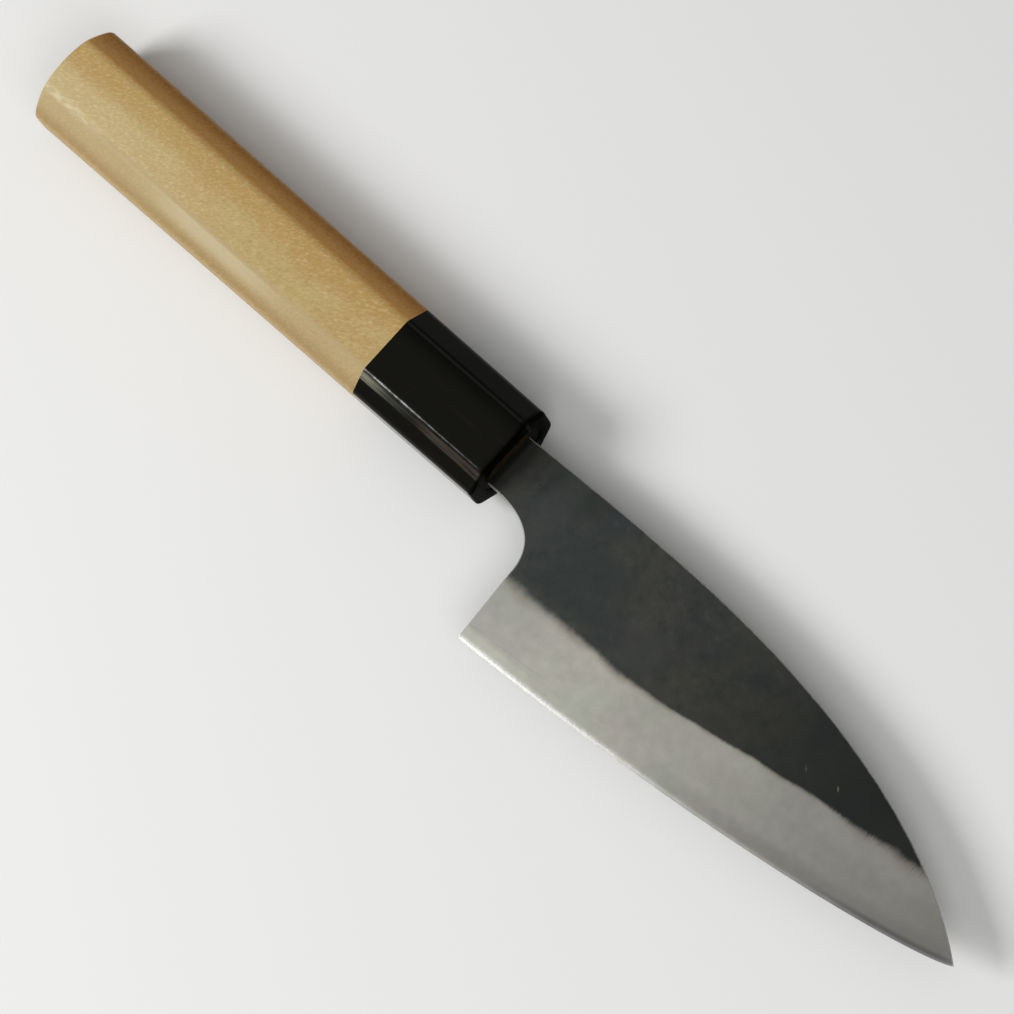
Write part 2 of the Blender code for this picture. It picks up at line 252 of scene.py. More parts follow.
def spine_line():
    neck_slope = (NECK_TOP - TANG_END_TOP) / -TANG_END
    rise = curve((0, NECK_TOP), sloping(NECK_REACH, neck_slope), CREST, (-CREST_REACH, 0), 120)
    fall = curve(CREST, (CREST_REACH, 0), TIP, sloping(-SPINE_TIP_REACH, SPINE_TIP_SLOPE), 240)
    return np.vstack([[(TANG_END, TANG_END_TOP)], rise, fall[1:]])


def edge_line():
    """The cutting edge, carried on backwards from the heel at its slope there."""
    back = (TANG_END, HEEL[1] - EDGE_HEEL_SLOPE * (HEEL[0] - TANG_END))
    leaving = sloping(EDGE_HEEL_REACH, EDGE_HEEL_SLOPE)
    arriving = sloping(-EDGE_TIP_REACH, EDGE_TIP_SLOPE)
    fore = curve(HEEL, leaving, TIP, arriving, 300)
    return np.vstack([[back], fore])


SPINE = spine_line()
EDGE = edge_line()

# The blade's mesh is a grid of rows and columns. The spaces between its columns, 9 times 43 in all:
TANG_SPACES = 11
NECK_SPACES = 6
CHOIL_SPACES = 47
HEEL_SPACES = 44
EDGE_SPACES = 279
COLUMN_CUTS = (8, 42)

# How far from the outlines the outer rows lie, and how many rows there are between them
BOTTOM_ROWS = np.array([0, 0.05, 0.12, 0.2, 0.32, 0.45, 0.62])
TOP_ROWS = np.array([0.34, 0.25, 0.16, 0.08, 0.025, 0])
MIDDLE_ROWS = 60
ROWS = len(BOTTOM_ROWS) + MIDDLE_ROWS + len(TOP_ROWS)
SHORT_COLUMN = 3                 # columns shorter than this have their outer rows closer together

# Where on the spine the columns that start on the neck, the choil, the heel line and the edge begin and end
SPINE_STOPS = (0, 3, 21, 39, TIP[0])


def even(line, count):
    """The same line in points an even distance apart."""
    along = np.r_[0, np.cumsum(np.hypot(*np.diff(line, axis=0).T))]
    places = np.linspace(0, along[-1], count)
    return np.column_stack([np.interp(places, along, line[:, axis]) for axis in (0, 1)])


def lower_outline():
    """The neck's underside, the choil, the heel line and the cutting edge, as four runs of points."""
    lean = np.subtract(HEEL, CHOIL_END)
    unit = lean / np.hypot(*lean)
    neck = np.linspace((0, NECK_BOTTOM), CHOIL_START, NECK_SPACES + 1)
    choil = curve(CHOIL_START, CHOIL_LEAVING, CHOIL_END, -unit * CHOIL_END_REACH, 400)
    heel = np.linspace(CHOIL_END, HEEL, HEEL_SPACES + 1)
    return neck, even(choil, CHOIL_SPACES + 1), heel, even(EDGE[1:], EDGE_SPACES + 1)


def spine_run(x0, x1, count):
    """The spine from one X to another, in points an even distance apart."""
    part = SPINE[(SPINE[:, 0] > x0) & (SPINE[:, 0] < x1)]
    ends = [(x, np.interp(x, *SPINE.T)) for x in (x0, x1)]
    return even(np.vstack([[ends[0]], part, [ends[1]]]), count)


def columns():
    """The lower and upper end of every column of the blade's mesh, from the tang's end to the tip."""
    tang_x = np.linspace(TANG_END, 0, TANG_SPACES + 1)[:-1]
    tang_low = np.interp(tang_x, (TANG_END, 0), (TANG_END_BOTTOM, NECK_BOTTOM))
    tang_high = np.interp(tang_x, (TANG_END, 0), (TANG_END_TOP, NECK_TOP))
    low = [np.column_stack([tang_x, tang_low])]
    high = [np.column_stack([tang_x, tang_high])]
    for run, x0, x1 in zip(lower_outline(), SPINE_STOPS, SPINE_STOPS[1:]):
        kept = len(run) if x1 == TIP[0] else len(run) - 1
        low.append(run[:kept])
        high.append(spine_run(x0, x1, len(run))[:kept])
    return np.vstack(low), np.vstack(high)


def row_places(length):
    """How far up a column each row lies. Rows crowd at its ends, where the blade is rounded or ground."""
    ends = min(1.0, length / SHORT_COLUMN)
    low = BOTTOM_ROWS * ends
    high = length - TOP_ROWS * ends
    middle = np.linspace(low[-1], high[0], MIDDLE_ROWS + 2)[1:-1]
    return np.r_[low, middle, high]


# How wide the ground bevel is at each X. It wanders, as a hand-ground one does.
BEVEL_WIDTHS = ((16, 15.45), (22, 15.15), (30, 14.85), (36, 14.8), (42, 14.2), (47.5, 13.75), (54, 14.1),
                (60, 14.35), (66, 14.9), (72, 15.2), (78, 15.85), (84, 15.8), (91, 16.3), (97.5, 15.95),
                (103.5, 15.25), (107, 15.25), (111, 15.4), (114, 14.9), (117, 14.45), (124, 14.5),
                (136, 14.5))

# The same widths every quarter of a millimetre, with their corners taken off by a running mean
LINE_X = np.linspace(10, 142, 529)
MEAN_OF = 13
MARGIN = 7                       # the mean is wrong this near to the ends of its line
LINE_WIDTH = np.convolve(read_table(LINE_X, BEVEL_WIDTHS), np.ones(MEAN_OF) / MEAN_OF, mode="same")
LINE_WIDTH[:MARGIN] = LINE_WIDTH[MARGIN]
LINE_WIDTH[-MARGIN:] = LINE_WIDTH[-MARGIN - 1]

# Where the scale's border lies above the bevel line, and how soft it is, at each X
BORDER_OFFSETS = ((18, 0.1), (34, 0.2), (46, 0.3), (58, 0.15), (78, 0.15), (86, 0), (96, 0), (104, 0.15),
                  (116, 0.1))
BORDER_SOFTNESS = ((16, 1.8), (34, 1.3), (46, 1.1), (58, 0.5), (94, 0.55), (106, 1.2), (118, 1.5))


def bevel_line(x):
    """Height of the line where the ground bevel starts."""
    x = np.maximum(x, HEEL[0])
    return np.interp(x, *EDGE.T) + np.interp(x, LINE_X, LINE_WIDTH)


# Blade

def half_thickness(x, y):
    """Half the blade's thickness: an almost flat upper face, a convex bevel and a micro bevel."""
    edge = np.interp(x, *EDGE.T)
    spine = np.interp(x, *SPINE.T)
    room = (spine - edge) / 6
    line = np.minimum(bevel_line(x), spine - 2 * np.minimum(EASING, room))
    full = np.interp(x, (TANG_END, 0, TIP[0]), (TANG_END_THICKNESS, NECK_THICKNESS, TIP_THICKNESS))
    narrow = np.clip((spine - edge) / POINT_WIDTH, 0, 1)
    at_line = (full - FACE_THINNING) / 2 * narrow
    above = np.maximum(y - line, 0)
    face = at_line + np.minimum(FACE_THINNING / 2 * above / (spine - line), FACE_SLOPE * above)
    foot = edge + np.minimum(MICRO_BEVEL, room)
    foot_half = (foot - edge) * MICRO_SLOPE
    rise = (y - foot) / np.maximum(line - foot, 0.01)
    bevel = foot_half + (at_line - foot_half) * (rise + BEVEL_BULGE * rise * np.maximum(1 - rise, 0))
    blend = np.clip(0.5 + (bevel - face) / (2 * BEVEL_BLEND), 0, 1)
    ground = bevel + (face - bevel) * blend - BEVEL_BLEND * blend * (1 - blend)
    micro = np.maximum(y - edge, 0) * MICRO_SLOPE
    return np.where(y < foot, micro, ground)


def rounded(half, distance, radius):
    """Thin the blade towards an outline at this distance, with a quarter round."""
    inside = np.clip(radius - distance, 0, radius)
    return half - (radius - np.sqrt(np.maximum(radius ** 2 - inside ** 2, 0)))


def unevenness(points, forged_seed, ground_seed):
    """How far a face stands out: soft waves in the forged part, and long upright ones in the ground part."""
    forged = np.clip((points[:, 1] - bevel_line(points[:, 0])) / 2 + 0.5, 0, 1)
    thick = np.clip(points[:, 2] / 0.8, 0, 1)
    level = points * (1, 1, 0)
    forging = FORGED_WAVE * ripple(level, 7, forged_seed) - FORGED_SINK
    grinding = GROUND_WAVE * ripple(level * (1, 0.22, 1), 5, ground_seed)
    return thick * (forged * forging + (1 - forged) * grinding)


def blade_grid(side, seeds):
    """Points of one face of the blade, in columns. Side is 1 for the upper face and -1 for the lower."""
    low, high = columns()
    grid = np.empty((len(low), ROWS, 3))
    first_on_edge = len(low) - EDGE_SPACES - 1
    for i, (start, end) in enumerate(zip(low, high)):
        length = np.hypot(*(end - start))
        places = row_places(length)
        share = places / length if length > 0 else places
        points = start + share[:, None] * (end - start)
        half = half_thickness(*points.T)
        if length > 0:
            half = rounded(half, length - places, min(EASING, 0.45 * half[-1], length / 12))
            if i < first_on_edge:
                half = rounded(half, places, min(EASING, 0.6 * half[0]))
        grid[i, :, :2] = points
        grid[i, :, 2] = half
    flat = grid.reshape(-1, 3)
    flat[:, 2] += unevenness(flat, *seeds)
    flat[:, 2] = np.maximum(flat[:, 2], 0) * side
    return grid


def whole_blade():
    """The whole blade from a closed cylinder: its rings become the columns, its sides the two faces."""
    upper = blade_grid(1, UPPER_SEEDS)
    lower = blade_grid(-1, LOWER_SEEDS)
    rings = np.concatenate([upper, lower[:, ::-1]], axis=1)
    count, around = rings.shape[:2]
    start_fresh()
    bpy.ops.mesh.primitive_cylinder_add(vertices=around, radius=1, depth=count - 1, end_fill_type="NGON")
    blade = bpy.context.object
    edit(blade, "EDGE")
    for cuts in COLUMN_CUTS:
        choose(blade, "EDGE", lambda edge: abs(edge.verts[0].co.z - edge.verts[1].co.z) > 0.5)
        bpy.ops.mesh.subdivide(number_cuts=cuts, quadcorner="STRAIGHT_CUT")
    bpy.ops.object.mode_set(mode="OBJECT")
    points = coordinates(blade)
    ring = np.rint(points[:, 2] + (count - 1) / 2).astype(int)
    step = np.rint(np.arctan2(points[:, 0], points[:, 1]) / (2 * pi) * around).astype(int) % around
    set_knife_coordinates(blade, rings[ring, step])
    # The two faces meet along the cutting edge, and all the rows at the tip
    edit(blade, "VERT")
    bpy.ops.mesh.select_all(action="SELECT")
    bpy.ops.mesh.remove_doubles(threshold=2e-6)
    bpy.ops.mesh.normals_make_consistent(inside=False)
    bpy.ops.object.mode_set(mode="OBJECT")
    return blade


def layer(blade, name, low, high):
    """One layer of the forge-welded blade, cut out of a copy between two levels and closed there."""
    piece = blade.copy()
    piece.data = blade.data.copy()
    bpy.context.collection.objects.link(piece)
    rename(piece, name)
    for level, keep_above in ((low, True), (high, False)):
        if level is None:
            continue
        edit(piece, "VERT")
        bpy.ops.mesh.select_all(action="SELECT")
        bpy.ops.mesh.bisect(plane_co=place(0, 0, level), plane_no=(0, 0, 1), use_fill=True,
                            clear_inner=keep_above, clear_outer=not keep_above, threshold=1e-8)
        bpy.ops.object.mode_set(mode="OBJECT")
    note_places(piece)
    smooth(piece, 30)
    return piece


def distance_from_rim(points):
    """How far each point lies from the spine, the neck's underside, the choil or the heel line."""
    neck, choil, heel, _ = lower_outline()
    rim = np.vstack([even(SPINE[1:], 500), neck, even(choil, 120), even(heel, 90)])
    return np.concatenate([np.hypot(part[:, None, 0] - rim[:, 0], part[:, None, 1] - rim[:, 1]).min(axis=1)
                           for part in np.array_split(points, 20)])


def note_places(piece):
    """Keep on every point, for the materials, where on the blade it lies and how soft the border is there."""
    points = knife_coordinates(piece)
    x = points[:, 0]
    over = points[:, 1] - bevel_line(x)
    values = {"over_bevel": over,
              "over_border": over - read_table(x, BORDER_OFFSETS),
              "over_edge": points[:, 1] - np.interp(x, *EDGE.T),
              "from_rim": distance_from_rim(points),
              "along": x,
              "border_softness": read_table(x, BORDER_SOFTNESS)}
    for name, value in values.items():
        attribute = piece.data.attributes.new(name, "FLOAT", "POINT")
        attribute.data.foreach_set("value", value.astype(np.float32))


# Handle

def octagon(x):
    """The eight corners of the handle's section at x, in order round the axis."""
    share = -x / HANDLE_LENGTH
    height, thickness, flat = (front + (butt - front) * share for front, butt in zip(FRONT, BUTT))
    y = height / 2
    z = thickness / 2
    return [(y, z - flat), (y - flat, z), (flat - y, z), (-y, z - flat),
            (-y, flat - z), (flat - y, -z), (y - flat, -z), (y, flat - z)]


def runs_along(edge):
    return abs(edge.verts[0].co.x - edge.verts[1].co.x) > 5 * MM


def at_level(x):
    """Says yes to an edge or face that lies at this X."""
    return lambda element: all(abs((vert.co.x - ORIGIN.x) / MM - x) < 0.01 for vert in element.verts)


def octagon_bar(name, back, front, ridge):
    """A tapered eight-sided bar along the handle's axis with eased ridges, made from a cylinder."""
    start_fresh()
    bpy.ops.mesh.primitive_cylinder_add(vertices=8, radius=HALF_WIDTH * MM, depth=(front - back) * MM,
                                        location=place((front + back) / 2, 0, 0), rotation=(0, pi / 2, 0))
    bar = freeze(bpy.context.object, name)
    points = knife_coordinates(bar)
    for i, (x, y, z) in enumerate(points):
        corner = int(np.floor((np.arctan2(z, y) + radians(1)) / (pi / 4))) % 8
        end = back if x < (front + back) / 2 else front
        points[i] = (end, *octagon(end)[corner])
    set_knife_coordinates(bar, points)
    edit(bar, "EDGE")
    choose(bar, "EDGE", runs_along)
    bpy.ops.mesh.bevel(offset=ridge * MM, segments=7, affect="EDGES")
    return bar


def strip_wide_sides(bar, ends):
    """Cut the wide sides lengthwise into strips."""
    def wide(edge):
        return any(at_level(x)(edge) for x in ends) and edge.calc_length() > WIDE_SIDE * MM
    choose(bar, "EDGE", wide)
    bpy.ops.mesh.subdivide(number_cuts=9, quadcorner="STRAIGHT_CUT")


def slice_across(bar, cuts):
    """Cut the whole length of a bar into short slices."""
    choose(bar, "EDGE", runs_along)
    bpy.ops.mesh.subdivide(number_cuts=cuts, quadcorner="STRAIGHT_CUT")
    bpy.ops.object.mode_set(mode="OBJECT")


def round_end(bar, x, forward, radius, deeper=()):
    """Round the rim at one end of a bar, by insetting its end face and drawing it in ring by ring. Forward is
    1 at the front and -1 at the back. Deeper lists more rings, by their distance from the sides."""
    choose(bar, "FACE", at_level(x))
    bpy.ops.transform.translate(value=(-forward * radius * MM, 0, 0))
    turns = [radians(turn) for turn in range(0, 91, 15)]
    rings = [(radius * (1 - cos(turn)), radius * sin(turn)) for turn in turns]
    rings += [(distance, radius) for distance in deeper]
    for (last_in, last_out), (distance, out) in zip(rings, rings[1:]):
        bpy.ops.mesh.inset(thickness=0)
        factor = (HALF_WIDTH - distance) / (HALF_WIDTH - last_in)
        bpy.ops.transform.resize(value=(1, factor, factor), center_override=place(x, 0, 0))
        bpy.ops.transform.translate(value=(forward * (out - last_out) * MM, 0, 0))


def sink(thing, depth, size, seed, share):
    """Let the surface sink unevenly towards the axis. Share() says how much of the depth goes where."""
    points = knife_coordinates(thing)
    dip = depth * np.clip(0.5 + 0.6 * ripple(points * (0.35, 1, 1), size, seed), 0, 1) * share(points)
    away = np.hypot(points[:, 1], points[:, 2])
    points[:, 1:] *= (1 - dip / np.maximum(away, 1))[:, None]
    set_knife_coordinates(thing, points)


def crown(y, z):
    """How far forward of its dome's crest the butt lies here."""
    return CROWN_RADIUS - np.sqrt(CROWN_RADIUS ** 2 - y ** 2 - z ** 2)


def wooden_body():
    bar = octagon_bar("wooden_body", -HANDLE_LENGTH, -FERRULE_LENGTH, BODY_EASING)
    strip_wide_sides(bar, (-HANDLE_LENGTH, -FERRULE_LENGTH))
    round_end(bar, -HANDLE_LENGTH, -1, BUTT_ROUNDING, BUTT_RINGS)
    bpy.ops.mesh.poke()
    bpy.ops.object.mode_set(mode="OBJECT")
    points = knife_coordinates(bar)
    butt = points[:, 0] < 2 - HANDLE_LENGTH
    points[butt, 0] += crown(points[butt, 1], points[butt, 2])
    set_knife_coordinates(bar, points)
    edit(bar, "EDGE")
    slice_across(bar, 60)
    sink(bar, BODY_SINKING, size=9, seed=21, share=lambda points: points[:, 0] < -FERRULE_LENGTH - 1)
    smooth(bar, 50)
    return bar


def mouth_bar(name, low, high, shrink=0.0):
    """A bar along the axis with round ends above and below, of the mouth's size or a little smaller."""
    start_fresh()
    middle = (MOUTH_TOP + MOUTH_BOTTOM) / 2
    straight = (MOUTH_TOP - MOUTH_BOTTOM - MOUTH_WIDTH) / 2
    radius = MOUTH_WIDTH / 2 - shrink
    bpy.ops.mesh.primitive_cylinder_add(vertices=MOUTH_SIDES, radius=radius * MM, depth=(high - low) * MM,
                                        location=place((low + high) / 2, middle, 0),
                                        rotation=(0, pi / 2, 0))
    bar = freeze(bpy.context.object, name)
    points = knife_coordinates(bar)
    beyond = points[:, 1] - middle
    points[:, 1] += np.where(np.abs(beyond) > 0.01, np.sign(beyond) * straight, 0)
    set_knife_coordinates(bar, points)
    return bar


def cut_away(thing, cutter):
    """Boolean the cutter out of the thing, and delete it."""
    pick(thing)
    modifier = thing.modifiers.new("cut", "BOOLEAN")
    modifier.object = cutter
    modifier.operation = "DIFFERENCE"
    modifier.solver = "EXACT"
    bpy.ops.object.modifier_apply(modifier=modifier.name)
    bpy.data.objects.remove(cutter)


def horn_ring():
    bar = octagon_bar("horn_ring", -FERRULE_LENGTH, 0, HORN_EASING)
    strip_wide_sides(bar, (-FERRULE_LENGTH, 0))
    round_end(bar, 0, 1, HORN_ROUNDING)
    slice_across(bar, 30)
    sink(bar, HORN_SINKING, size=7, seed=33,
         share=lambda points: np.clip((points[:, 0] + FERRULE_LENGTH) / 2, 0, 1))
    cut_away(bar, mouth_bar("mouth", -FERRULE_LENGTH - 5, 5))
    edit(bar, "EDGE")
    choose(bar, "EDGE", lambda edge: at_level(0)(edge) and len(edge.link_faces) == 2
           and edge.calc_face_angle() > radians(60))
    bpy.ops.mesh.bevel(offset=MOUTH_EASING * MM, segments=3, affect="EDGES")
    bpy.ops.object.mode_set(mode="OBJECT")
    smooth(bar, 40)
    return bar


def neck_space():
    """A block a little larger than the neck, to cut the plug with."""
    start_fresh()
    bpy.ops.mesh.primitive_cube_add(size=1)
    neck = freeze(bpy.context.object, "neck_space")
    ends = np.sign(coordinates(neck))
    x = ends[:, 0] * 8
    y = np.where(ends[:, 1] > 0, NECK_TOP + NECK_CLEARANCE, NECK_BOTTOM - NECK_CLEARANCE)
    z = ends[:, 2] * (NECK_THICKNESS / 2 + NECK_CLEARANCE)
    set_knife_coordinates(neck, np.column_stack([x, y, z]))
    return neck


def resin_plug():
    """The plug that closes the mouth round the neck, with an uneven surface."""
    plug = mouth_bar("resin_plug", PLUG_BACK, PLUG_FRONT, PLUG_CLEARANCE)
    edit(plug, "FACE")
    choose(plug, "FACE", at_level(PLUG_FRONT))
    for _ in range(PLUG_RINGS):
        bpy.ops.mesh.inset(thickness=PLUG_RING_WIDTH * MM)
    cut_away(plug, neck_space())
    points = knife_coordinates(plug)
    front = points[:, 0] > (PLUG_FRONT + PLUG_BACK) / 2
    inward = np.clip((MOUTH_WIDTH / 2 - np.abs(points[:, 2])) / 2.5, 0, 1)
    dip = inward * PLUG_DIP * (1 + ripple(points, size=2.5, seed=41))
    points[front, 0] -= dip[front]
    set_knife_coordinates(plug, points)
    smooth(plug, 40)
    return plug


# Helpers for materials

class Nodes:
    """A new material's node tree, with short calls to add a node and to join nodes."""

    def __init__(self, name):
        self.material = bpy.data.materials.new(name)
        self.material.use_nodes = True
        self.tree = self.material.node_tree
        self.shader = self.tree.nodes["Principled BSDF"]

    def add(self, kind, inputs=None, **settings):
        made = self.tree.nodes.new("ShaderNode" + kind)
        for key, value in settings.items():
            setattr(made, key, value)
        for key, value in (inputs or {}).items():
            self.feed(made.inputs[key], value)
        return made

    def feed(self, socket, value):
        if isinstance(value, bpy.types.NodeSocket):
            self.tree.links.new(value, socket)
        elif isinstance(value, tuple) and socket.type == "RGBA":
            socket.default_value = (*value, 1)
        else:
            socket.default_value = value

    def set(self, **inputs):
        for key, value in inputs.items():
            self.feed(self.shader.inputs[key.replace("_", " ")], value)

    def places(self, stretch=(1, 1, 1), turn=0):
        """Object coordinates in millimetres from the knife's own origin, turned in plan, then stretched."""
        spot = self.add("TexCoord").outputs["Object"]
        moved = self.add("Mapping", {"Vector": spot, "Location": tuple(-c for c in ORIGIN)}).outputs[0]
        scale = tuple(s / MM for s in stretch)
        if turn:
            moved = self.add("Mapping", {"Vector": moved, "Rotation": (0, 0, radians(turn))}).outputs[0]
        return self.add("Mapping", {"Vector": moved, "Scale": scale}).outputs[0]

    def axes(self):
        """The three places apart: along the knife, towards its spine, and upwards."""
        split = self.add("SeparateXYZ", {"Vector": self.places()}).outputs
        return split["X"], split["Y"], split["Z"]

    def attribute(self, name):
        return self.add("Attribute", attribute_name=name).outputs["Fac"]

    def noise(self, where, size, detail=3.0, roughness=0.5, distortion=0.0):
        made = self.add("TexNoise", {"Vector": where, "Scale": 1 / size, "Detail": detail,
                                     "Roughness": roughness, "Distortion": distortion})
        return made.outputs["Fac"]

    def math(self, operation, *values):
        made = self.add("Math", operation=operation)
        for socket, value in zip(made.inputs, values):
            self.feed(socket, value)
        return made.outputs[0]

    def product(self, first, *others):
        for other in others:
            first = self.math("MULTIPLY", first, other)
        return first

    def plus(self, value, other, times=1.0):
        """A value plus another one times a number."""
        return self.math("MULTIPLY_ADD", other, times, value)

    def wander(self, value, pattern, reach):
        """A value that a pattern moves up and down, by half the reach at most."""
        return self.plus(self.math("SUBTRACT", value, reach / 2), pattern, reach)

    def rescale(self, value, low, high, to_low=0.0, to_high=1.0, soft=True):
        made = self.add("MapRange", {"Value": value, "From Min": low, "From Max": high, "To Min": to_low,
                                     "To Max": to_high})
        made.interpolation_type = "SMOOTHSTEP" if soft else "LINEAR"
        return made.outputs[0]

    def between(self, value, low, low_full, high_full, high, times=1.0):
        """One from low_full to high_full and fading to nothing at low and high, times another number."""
        return self.product(self.rescale(value, low, low_full), self.rescale(value, high, high_full), times)

    def mix(self, share, first, second):
        made = self.add("Mix", data_type="RGBA")
        self.feed(made.inputs[0], share)
        self.feed(made.inputs[6], first)
        self.feed(made.inputs[7], second)
        return made.outputs[2]

    def lay(self, colour, *coats):
        """Lay coats over a colour, one after another. Each coat is its share and its own colour."""
        for share, tone in coats:
            colour = self.mix(share, colour, tone)
        return colour

    def brighten(self, colour, factor):
        return self.add("VectorMath", {0: colour, "Scale": factor}, operation="SCALE").outputs[0]

    def bump(self, height, distance, under=None):
        made = self.add("Bump", {"Height": height, "Distance": distance * MM})
        if under is not None:
            self.feed(made.inputs["Normal"], under)
        return made.outputs[0]


# The blade's metal

class BladeNodes(Nodes):
    """A blade metal's nodes, with the places and patterns that its scale and its ground steel share."""

    def __init__(self, name):
        super().__init__(name)
        self.flat = self.places()
        self.over = self.attribute("over_bevel")
        self.above_edge = self.attribute("over_edge")
        self.along = self.attribute("along")
        self.mottle = self.noise(self.flat, 2.5, 4.0, 0.6)
        self.grain = self.noise(self.flat, 0.25, 3.0, 0.7)
        self.scratches = self.noise(self.places((1, 0.06, 0.06)), 0.16, 2.0, 0.6)


def ragged_border(n):
    """How ragged the scale's border is, and how far above it a point lies, as a share of its softness."""
    soft = n.attribute("border_softness")
    upright = n.noise(n.places((1, 0.1, 0.1)), 0.4, 3.0, 0.6)
    strength = n.plus(n.rescale(n.along, 24, 50, 0.15, 0.6), n.rescale(n.along, 92, 103))
    patches = n.rescale(n.noise(n.flat, 5, 2.0), 0.35, 0.65, 0.2, 1.0)
    teeth = n.product(n.math("SUBTRACT", upright, 0.5), strength, patches)
    ragged = n.wander(teeth, n.noise(n.flat, 2.2), 0.9)
    border = n.plus(n.attribute("over_border"), ragged, soft)
    return ragged, n.math("DIVIDE", border, soft)


def forge_scale(n):
    """Black scale with cold and warm clouds and fine grain, darker towards the tip."""
    over = n.over
    along = n.along
    clouds = n.noise(n.flat, 13)
    warm = n.noise(n.flat, 22, 2.0)
    wandering = n.wander(along, clouds, 8.0)
    black = n.mix(n.rescale(clouds, 0.35, 0.65), (0.0160, 0.0225, 0.0245), (0.036, 0.036, 0.031))
    black = n.lay(
        black,
        # Warm clouds, colder towards the handle, and olive towards the spine
        (n.rescale(warm, 0.45, 0.6, 0, 0.85), (0.040, 0.040, 0.030)),
        (n.rescale(along, 45, 14, 0, 0.6), (0.025, 0.033, 0.036)),
        (n.product(n.rescale(over, 12, 22), n.rescale(along, 40, 65), 0.7), (0.041, 0.042, 0.033)),
        # Paler where the stones rubbed it, beside the bevel line
        (n.product(n.rescale(over, 7, 0.5), n.rescale(along, 98, 78), 0.45), (0.042, 0.045, 0.038)),
        # Small light and dark spots
        (n.rescale(n.mottle, 0.5, 0.72, 0, 0.45), (0.056, 0.056, 0.048)),
        (n.rescale(n.mottle, 0.5, 0.28, 0, 0.45), (0.012, 0.017, 0.019)),
        # A large cold patch, and a paler one beside it
        (n.between(wandering, 17, 25, 35, 44, n.between(over, 1.5, 4, 14, 19, 0.6)), (0.020, 0.027, 0.027)),
        (n.between(wandering, 38, 44, 49, 55, n.between(over, 0.5, 3, 10, 14, 0.6)), (0.045, 0.045, 0.040)),
        # Darker on the spine side by the neck, and all over towards the tip
        (n.product(n.rescale(over, 17, 23), n.rescale(along, 27, 20), 0.75), (0.018, 0.0225, 0.0165)),
        (n.rescale(along, 40, 102, 0, 0.9), (0.0055, 0.0075, 0.0055)),
        (n.product(n.rescale(over, 2, 9), n.rescale(along, 98, 109)), (0.003, 0.004, 0.003)))
    black = neck_scale(n, black, wandering)
    black = n.brighten(black, n.rescale(n.grain, 0.35, 0.65, 0.92, 1.08))
    return chipped_scale(n, black)


def neck_scale(n, black, wandering):
    """The scale near the ferrule: a paler band, dark blots, and a painted shadow of the ferrule where the
    neck goes in.
    """
    blots = n.math("MAXIMUM", n.rescale(n.noise(n.flat, 1.3), 0.53, 0.66, 0, 0.75),
                   n.rescale(n.noise(n.flat, 3), 0.45, 0.62, 0, 0.5))
    blots = n.between(n.along, 5, 6.5, 9, 12, n.product(blots, n.rescale(n.over, 15, 19)))
    paler = n.product(n.rescale(wandering, 9.5, 13), n.rescale(wandering, 19, 15, 0, 0.4))
    return n.lay(
        black,
        (paler, (0.044, 0.045, 0.042)),
        (n.rescale(n.along, 9.5, 5.5, 0, 0.6), (0.032, 0.031, 0.0235)),
        (blots, (0.014, 0.014, 0.013)),
        # Painted shadow of the ferrule on the neck
        (n.rescale(n.plus(n.along, n.mottle, 2.0), 5.0, 3.4, 0, 0.6), (0.0135, 0.0135, 0.0095)),
        (n.rescale(n.along, 1.5, 0.6, 0, 0.95), (0.0010, 0.0009, 0.0002)))


def chipped_scale(n, black):
    """Small bright chips in the scale, longer than they are wide."""
    tilted = n.places((CHIP_STRETCH, 1, 0), CHIP_TILT)
    for x, y, depth in CHIPS:
        turned = Matrix.Rotation(radians(CHIP_TILT), 3, "Z") @ Vector((x, y, 0))
        middle = (turned.x * CHIP_STRETCH, turned.y, 0)
        away = n.add("VectorMath", {0: tilted, 1: middle}, operation="DISTANCE").outputs["Value"]
        black = n.mix(n.rescale(away, 0.28, 0.08, 0, depth), black, (0.19, 0.18, 0.15))
    return black


